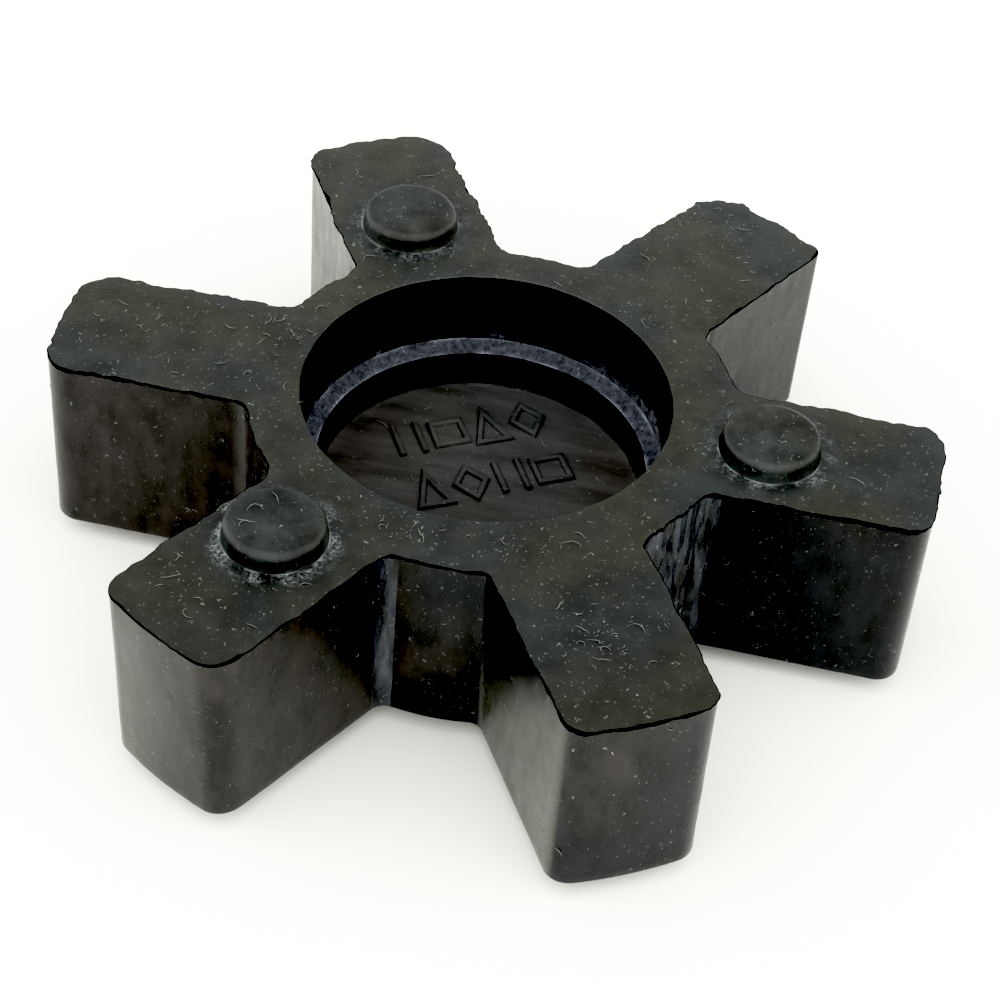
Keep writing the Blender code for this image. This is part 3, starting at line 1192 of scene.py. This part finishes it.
@dataclass
class RaisedMarks:
    """Two rows of plain geometric marks moulded on the web."""

    floor: Callable[[float, float], float]
    direction: float = 30.0                   # degrees, the way the rows read
    row_start: float = -3.85                  # middle of the first mark along the row
    pitch: float = 3.12
    baselines: tuple[float, float] = (5.4, -0.3)
    height: float = 3.75
    width: float = 2.85
    stroke: float = 0.5
    relief: float = 0.3
    rows: tuple[tuple[Mark, ...], ...] = (
        (Mark.BARS, Mark.SQUARE, Mark.TRIANGLE, Mark.DIAMOND),
        (Mark.TRIANGLE, Mark.DIAMOND, Mark.BARS, Mark.SQUARE),
    )
    draft: MeshDraft = field(default_factory=MeshDraft)

    def paths(self, mark: Mark) -> list[tuple[list[Point2], bool]]:
        """The strokes of a mark, about the middle of its foot.

        Args:
            mark: Which mark.

        Returns:
            For each stroke, its points and whether it closes.
        """
        half = (self.width - self.stroke) / 2
        low = self.stroke / 2
        high = self.height - self.stroke / 2
        middle = self.height / 2
        if mark is Mark.BARS:
            return [([(-half * 0.75, low), (-half * 0.75, high)], False),
                    ([(half * 0.75, low), (half * 0.75, high)], False)]
        if mark is Mark.SQUARE:
            return [([(-half, middle - half), (half, middle - half), (half, middle + half),
                      (-half, middle + half)], True)]
        if mark is Mark.TRIANGLE:
            return [([(-half, low), (half, low), (0, high)], True)]
        return [([(0, low), (half, middle), (0, high), (-half, middle)], True)]

    def sweep(self, path: list[Point2], closed: bool) -> None:
        """Draw one stroke as a rounded ridge along its path.

        Args:
            path: Its points on the web.
            closed: Whether it closes on itself.
        """
        half = self.stroke / 2
        section = [(-half * 1.12, -0.06), (-half * 0.9, self.relief * 0.55), (-half * 0.5, self.relief),
                   (half * 0.5, self.relief), (half * 0.9, self.relief * 0.55), (half * 1.12, -0.06)]
        count = len(path)
        points = [Vector(point) for point in path]
        if not closed:
            run = (points[1] - points[0]).normalized()
            points = [points[0] - run * half * 0.4, points[0], points[1], points[1] + run * half * 0.4]
            count = 4
        rows = []
        for index, point in enumerate(points):
            before = points[index - 1] if closed or index else None
            after = points[(index + 1) % count] if closed or index < count - 1 else None
            into = (point - before).normalized() if before is not None else (after - point).normalized()
            out = (after - point).normalized() if after is not None else into
            left = Vector((-into.y, into.x)) + Vector((-out.y, out.x))
            left = left.normalized() / max(0.35, left.normalized().dot(Vector((-into.y, into.x))))
            end = not closed and index in (0, count - 1)
            row = []
            for side, rise in section:
                x, y = point + left * side * (0.75 if end else 1.0)
                lift = rise if not end else min(rise, -0.06)
                row.append((x, y, self.floor(x, y) + lift))
            rows.append(self.draft.ring(row))
        pairs = list(zip(rows, rows[1:])) + ([(rows[-1], rows[0])] if closed else [])
        for first, second in pairs:
            for side in range(len(section) - 1):
                self.draft.face((first[side + 1], first[side], second[side], second[side + 1]), 0)

    def build(self, finish: bpy.types.Material) -> bpy.types.Object:
        """Draw both rows.

        Args:
            finish: The marks' material.

        Returns:
            The marks as one object.
        """
        angle = math.radians(self.direction)
        along = Vector((math.cos(angle), math.sin(angle)))
        up = Vector((-math.sin(angle), math.cos(angle)))
        for marks, baseline in zip(self.rows, self.baselines):
            for index, mark in enumerate(marks):
                foot = along * (self.row_start + index * self.pitch) + up * baseline
                for path, closed in self.paths(mark):
                    placed = [foot + along * x + up * y for x, y in path]
                    self.sweep([(point.x, point.y) for point in placed], closed)
        return self.draft.build("raised_marks", [finish], 60.0)


# ---------------------------------------------------------------------------------------------------
# Lint and dust
# ---------------------------------------------------------------------------------------------------

@dataclass
class Settling:
    """Where lint and dust can lie on the spider, and which way is up there."""

    spider: Spider
    clusters: tuple[Point2, ...] = ((11.5, -21.5), (12.6, -19.6), (-15.4, -23.0), (-3.0, -14.9),
                                    (4.0, -14.7), (-15.5, 3.0), (-12.8, -5.0))
    cluster_spread: float = 1.3

    def spot(self, chance: random.Random) -> tuple[Vector, Vector]:
        """Pick a place at random.

        Args:
            chance: The source of randomness.

        Returns:
            A point on the rubber and the direction out of it.
        """
        share = chance.random()
        if share < 0.50:
            return self.on_face(chance)
        if share < 0.70:
            return self.in_cluster(chance)
        if share < 0.77:
            return self.on_web(chance)
        return self.on_wall(chance)

    def in_cluster(self, chance: random.Random) -> tuple[Vector, Vector]:
        """Pick a place on the upper face where fluff has gathered."""
        spider = self.spider
        while True:
            middle = chance.choice(self.clusters)
            x, y = (chance.gauss(value, self.cluster_spread) for value in middle)
            shift = spider.upper_shift
            on_rubber = math.hypot(x - shift[0], y - shift[1]) > spider.rim_radius + 0.3
            if on_rubber and spider.outline.contains(x, y, 0.3):
                return Vector((x, y, spider.face_height(x, y))), Vector((0, 0, 1))

    def on_face(self, chance: random.Random) -> tuple[Vector, Vector]:
        """Pick a place on the upper face or a nub."""
        spider = self.spider
        reach = spider.outline.outer_radius
        while True:
            x, y = chance.uniform(-reach, reach), chance.uniform(-reach, reach)
            if not spider.outline.contains(x, y, 0.3):
                continue
            shift = spider.upper_shift
            if math.hypot(x - shift[0], y - shift[1]) < spider.rim_radius + 0.3:
                continue
            height = spider.face_height(x, y)
            gaps = [math.hypot(x - nub[0], y - nub[1]) for nub in spider.upper_nubs]
            if min(gaps) < spider.nub_top - 0.6:
                height = spider.body_high + spider.nub_height
            elif min(gaps) < spider.nub_foot + 0.3:
                continue
            return Vector((x, y, height)), Vector((0, 0, 1))

    def on_web(self, chance: random.Random) -> tuple[Vector, Vector]:
        """Pick a place on the web."""
        spider = self.spider
        angle = chance.uniform(0, 2 * math.pi)
        radius = (spider.floor_radius - 0.4) * math.sqrt(chance.random())
        x = spider.upper_shift[0] + radius * math.cos(angle)
        y = spider.upper_shift[1] + radius * math.sin(angle)
        return Vector((x, y, spider.web_height(x, y))), Vector((0, 0, 1))

    def on_wall(self, chance: random.Random) -> tuple[Vector, Vector]:
        """Pick a place on the outer wall."""
        spider = self.spider
        place = chance.choice(spider.outline.walk())
        z = chance.uniform(spider.body_low + 1, spider.body_high - 0.8)
        share = (z - spider.body_low) / (spider.body_high - spider.body_low)
        offset = spider.outline.drift(place) * (0.45 + 0.55 * share)
        out = Vector((place.out_x, place.out_y, 0))
        return Vector((place.x, place.y, z)) + out * offset, out


@dataclass
class Lint:
    """Short curled fibres lying on the rubber."""

    settling: Settling
    count: int = 460
    thickness: float = 0.047
    shortest: float = 0.15
    longest: float = 1.7
    seed: int = 71
    draft: MeshDraft = field(default_factory=MeshDraft)

    def fibre(self, start: Vector, out: Vector, length: float, chance: random.Random) -> None:
        """Draw one fibre.

        Args:
            start: Where it begins.
            out: The direction out of the rubber.
            length: Its length.
            chance: The source of randomness.
        """
        across = out.orthogonal().normalized()
        turn = Matrix.Rotation(chance.uniform(0, 2 * math.pi), 3, out)
        heading = turn @ across
        steps = max(4, round(length / 0.12))
        curl = chance.uniform(-3.0, 3.0) / length
        place = start + out * self.thickness * 0.4
        rows = []
        for step in range(steps + 1):
            share = step / steps
            side = heading.cross(out)
            thin = self.thickness / 2 * (0.35 + 0.65 * math.sin(math.pi * min(max(share, 0.04), 0.96)))
            rows.append(self.draft.ring([tuple(place + side * thin), tuple(place - out * thin),
                                         tuple(place - side * thin), tuple(place + out * thin)]))
            bend = Matrix.Rotation((curl + chance.uniform(-3.0, 3.0)) * length / steps, 3, out)
            heading = bend @ heading
            place = place + heading * (length / steps)
            place = place + out * 0.02 * math.sin(share * math.pi * 2)
        for below, above in zip(rows, rows[1:]):
            self.draft.bridge(below, above, 0)
        self.draft.face(tuple(reversed(rows[0])), 0)
        self.draft.face(tuple(rows[-1]), 0)

    def build(self, finish: bpy.types.Material) -> bpy.types.Object:
        """Scatter the fibres.

        Args:
            finish: Their material.

        Returns:
            The fibres as one object.
        """
        chance = random.Random(self.seed)
        for _ in range(self.count):
            start, out = self.settling.spot(chance)
            length = self.shortest + (self.longest - self.shortest) * chance.random() ** 5
            self.fibre(start, out, length, chance)
        return self.draft.build("lint_fibres", [finish], 80.0)


@dataclass
class Dust:
    """Crumbs of dust and torn rubber."""

    settling: Settling
    count: int = 300
    smallest: float = 0.04
    largest: float = 0.20
    seed: int = 83
    draft: MeshDraft = field(default_factory=MeshDraft)

    def crumb(self, place: Vector, out: Vector, size: float, chance: random.Random) -> None:
        """Draw one crumb as an uneven flattened lump.

        Args:
            place: Where it lies.
            out: The direction out of the rubber.
            size: Its width.
            chance: The source of randomness.
        """
        across = out.orthogonal().normalized()
        along = out.cross(across)
        sides = 6
        ring = []
        for side in range(sides):
            angle = 2 * math.pi * side / sides
            radius = size / 2 * chance.uniform(0.55, 1.2)
            ring.append(tuple(place + across * radius * math.cos(angle) + along * radius * math.sin(angle)
                              + out * size * 0.08))
        numbers = self.draft.ring(ring)
        top = self.draft.ring([tuple(place + out * size * chance.uniform(0.3, 0.5))])[0]
        foot = self.draft.ring([tuple(place - out * size * 0.1)])[0]
        for side in range(sides):
            after = (side + 1) % sides
            self.draft.face((numbers[side], numbers[after], top), 0)
            self.draft.face((numbers[after], numbers[side], foot), 0)

    def build(self, finish: bpy.types.Material) -> bpy.types.Object:
        """Scatter the crumbs.

        Args:
            finish: Their material.

        Returns:
            The crumbs as one object.
        """
        chance = random.Random(self.seed)
        for _ in range(self.count):
            place, out = self.settling.spot(chance)
            size = self.smallest + (self.largest - self.smallest) * chance.random() ** 3
            self.crumb(place, out, size, chance)
        return self.draft.build("dust_crumbs", [finish], 80.0)


# ---------------------------------------------------------------------------------------------------
# The studio
# ---------------------------------------------------------------------------------------------------

@dataclass
class Studio:
    """A white table under an even white light tent, and the camera."""

    floor_size: float = 6.0                 # metres
    floor_colour: str = "#f2f2ef"
    tent_colour: str = "#fffffb"
    tent_strength: float = 2.3
    backdrop_strength: float = 1.0          # the wall behind is lit less than the tent's roof and sides
    backdrop_way: Point3 = (-0.05, 0.85, 0.50)
    backdrop_spread: tuple[float, float] = (38.0, 66.0)   # degrees, where it begins to fade and is gone
    # How the picture is developed: light below the black level is lost, light above the white level is
    # white, and the curve between them, as shares of that range, rolls off before white.
    black_level: float = 0.060
    white_level: float = 2.0
    roll_off: tuple[Point2, ...] = ((0.065, 0.150), (0.186, 0.440), (0.314, 0.680), (0.420, 0.800),
                                    (0.515, 0.885), (0.588, 0.940), (0.660, 0.975), (0.750, 0.998))
    aim: Point3 = (0.58, 2.71, 4.30)        # millimetres
    azimuth: float = 8.63                   # degrees right of the front
    elevation: float = 43.01
    roll: float = 5.16
    distance: float = 189.13                # millimetres from the aim
    lens: float = 90.66

    def camera(self) -> bpy.types.Object:
        """Place the camera.

        Returns:
            The camera.
        """
        turn, tilt, roll = (math.radians(value) for value in (self.azimuth, self.elevation, self.roll))
        back = Vector((math.sin(turn) * math.cos(tilt), -math.cos(turn) * math.cos(tilt), math.sin(tilt)))
        level = Vector((math.cos(turn), math.sin(turn), 0))
        upright = back.cross(level)
        right = level * math.cos(roll) + upright * math.sin(roll)
        up = upright * math.cos(roll) - level * math.sin(roll)
        data = bpy.data.cameras.new("view_camera")
        data.lens = self.lens
        data.sensor_width = 36.0
        data.clip_start = 0.01
        camera = bpy.data.objects.new("view_camera", data)
        spot = (Vector(self.aim) + back * self.distance) * MILLIMETRE
        camera.matrix_world = Matrix.Translation(spot) @ Matrix((right, up, back)).transposed().to_4x4()
        bpy.context.scene.collection.objects.link(camera)
        bpy.context.scene.camera = camera
        return camera

    def table(self) -> bpy.types.Object:
        """Lay the white table top.

        Returns:
            The table top, which is not part of the object.
        """
        half = self.floor_size / 2
        mesh = bpy.data.meshes.new("table_top")
        corners = [(-half, -half, 0), (half, -half, 0), (half, half, 0), (-half, half, 0)]
        mesh.from_pydata(corners, [], [(0, 1, 2, 3)])
        material = bpy.data.materials.new("white_coated_board")
        material.use_nodes = True
        shader = material.node_tree.nodes["Principled BSDF"]
        shader.inputs["Base Color"].default_value = linear(self.floor_colour)
        shader.inputs["Roughness"].default_value = 0.85
        shader.inputs["Specular IOR Level"].default_value = 0.1
        mesh.materials.append(material)
        table = bpy.data.objects.new("table_top", mesh)
        bpy.context.scene.collection.objects.link(table)
        return table

    def tent(self) -> None:
        """Surround the scene with even white light and set how the picture is developed."""
        scene = bpy.context.scene
        world = bpy.data.worlds.new("light_tent")
        world.use_nodes = True
        tree = world.node_tree
        sky = tree.nodes["Background"]
        sky.inputs["Color"].default_value = linear(self.tent_colour)
        facing = add_node(tree, "ShaderNodeVectorMath", {"operation": "DOT_PRODUCT"},
                          {0: add_node(tree, "ShaderNodeTexCoord").outputs["Generated"],
                           1: Vector(self.backdrop_way).normalized()}).outputs["Value"]
        near, far = (math.cos(math.radians(angle)) for angle in self.backdrop_spread)
        strength = add_node(tree, "ShaderNodeMapRange", {"interpolation_type": "SMOOTHSTEP"},
                            {"Value": facing, "From Min": far, "From Max": near,
                             "To Min": self.tent_strength, "To Max": self.backdrop_strength}).outputs[0]
        tree.links.new(strength, sky.inputs["Strength"])
        scene.world = world
        scene.view_settings.view_transform = "Standard"
        scene.view_settings.look = "None"
        scene.view_settings.use_curve_mapping = True
        curves = scene.view_settings.curve_mapping
        curves.black_level = (self.black_level,) * 3
        curves.white_level = (self.white_level,) * 3
        for light_in, light_out in self.roll_off:
            curves.curves[3].points.new(light_in, light_out)
        curves.update()

    def build(self) -> None:
        """Set up the table, the light and the camera."""
        self.table()
        self.tent()
        self.camera()


# ---------------------------------------------------------------------------------------------------

def dress(spider: Spider) -> list[bpy.types.Material]:
    """Make the moulding's materials.

    Args:
        spider: The moulding.

    Returns:
        The materials, in the order of Surface.
    """
    rings = DustRings(tuple(DustRing(centre, 3.66, strength) for centre, strength
                            in zip(spider.upper_nubs, (0.55, 0.45, 0.9))))
    ledge_lines = DustRings((DustRing(spider.upper_shift, spider.ledge_inner, 0.9),
                             DustRing(spider.upper_shift, spider.recess_foot, 0.9, False)),
                            line_width=0.16, reach=0.3, cloud_size=2.5)
    finishes = {
        # Straight from a satin mould: a soft sheen; a brown black drifting to a cooler, darker black, with
        # painted shade toward the bottom and toward +X, and a painted sheen on the walls that face front
        # left.
        Surface.WALL: NitrileRubber("moulded_nitrile_wall_painted_shade_and_sheen", colour="#1e1c1b", second_colour="#101216",
                                    painted_shade_slope=(0.010, 0.0, -0.012), cool_offset=0.096,
                                    painted_sheen_way=(-0.866, -0.5, 0.0), roughness=0.30,
                                    roughness_spread=0.09, gloss=0.42, grain_height=0.004,
                                    cloudiness=2.0, blotch_size=1.8, stretch=(1, 1, 0.5),
                                    fleck_share=0.035),
        # Ground flat after trimming: a matt, cloudy grey-black with dust in its pores, and painted light that
        # pales it toward the back.
        Surface.FACE: NitrileRubber("ground_nitrile_face_painted_light", colour="#2b2b26", second_colour="#272a2b",
                                    roughness=0.45, roughness_spread=0.10, grain_height=0.03,
                                    swell_height=0.08, cloudiness=1.35, fleck_share=0.05,
                                    painted_light_back=0.22, rings=rings),
        # Torn where the flash came away: open and lightless.
        Surface.TORN: NitrileRubber("torn_nitrile_edge", roughness=0.8, gloss=0.12, grain_height=0.05),
        # Wrinkled in the mould: rough folds with pale dust on their backs.
        Surface.CRUMPLED: NitrileRubber("wrinkled_nitrile_wall", colour="#292b2f",
                                        second_colour="#1f2125", roughness=0.35, grain_height=0.10,
                                        cloudiness=3.0, blotch_size=0.9, stretch=(1, 1, 0.25),
                                        fleck_share=0.05),
        # Smooth and deep, so it looks nearly lightless.
        Surface.RECESS: NitrileRubber("smooth_nitrile_recess", roughness=0.25),
        # A coarse, paler bluish grain low on the recess wall.
        Surface.GRAINED: NitrileRubber("grained_nitrile_recess", colour="#47484c",
                                       second_colour="#3c3d41", roughness=0.6, gloss=0.3,
                                       grain_height=0.08, cloudiness=2.4, blotch_size=0.5,
                                       fleck_share=0.10, fleck_colour="#8d949f", fleck_size=0.22),
        # Blasted step that holds bluish dust, most of all along its edges.
        Surface.LEDGE: NitrileRubber("dusty_nitrile_ledge", colour="#3f4046", second_colour="#393b41",
                                     roughness=0.6, gloss=0.3, grain_height=0.05, cloudiness=1.9,
                                     blotch_size=0.5, fleck_share=0.08, fleck_colour="#7d8592",
                                     fleck_size=0.22, bloom_colour="#98a0ac", rings=ledge_lines),
        # Smooth web with faint flow lines across it, dulled by dust that never gets wiped off.
        Surface.WEB: NitrileRubber("flowed_nitrile_web", colour="#4c4b4b", second_colour="#494a4b",
                                   roughness=0.50, gloss=0.12, swell_height=0.02,
                                   stretch=(0.35, 1.6, 1), cloudiness=1.2, fleck_share=0.02),
        # Small end faces, a little smoother than the ground face.
        Surface.NUB: NitrileRubber("moulded_nitrile_nub", colour="#2b2c2a", second_colour="#282b2c",
                                   roughness=0.42, gloss=0.40, fleck_share=0.03),
    }
    return [finishes[surface].build() for surface in Surface]


def place_piece(piece: bpy.types.Object) -> None:
    """Ride a piece on the spider's body and log it."""
    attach(piece, BODY)
    LOG.info("%s: %d faces", piece.name, len(piece.data.polygons))


def main() -> None:
    """Build the scene."""
    logging.basicConfig(level=logging.INFO, format="%(name)s: %(message)s")
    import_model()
    low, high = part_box(NODE)
    outline = SpiderOutline(outer_radius=(high[0] - low[0]) / 2 / MILLIMETRE)
    spider = Spider(outline, body_low=low[2] / MILLIMETRE + Spider.nub_height,
                    body_high=high[2] / MILLIMETRE - Spider.nub_height)
    Studio().build()
    finishes = dress(spider)
    moulding = spider.build(finishes)
    place_piece(moulding)
    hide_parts(NODE)
    marks = RaisedMarks(spider.web_height).build(finishes[Surface.WEB.value])
    place_piece(marks)
    settling = Settling(spider)
    place_piece(Lint(settling).build(DryFluff("cotton_lint", "#8f918b").build()))
    place_piece(Dust(settling).build(DryFluff("pale_dust", "#84867f").build()))


if __name__ == "__main__":
    main()
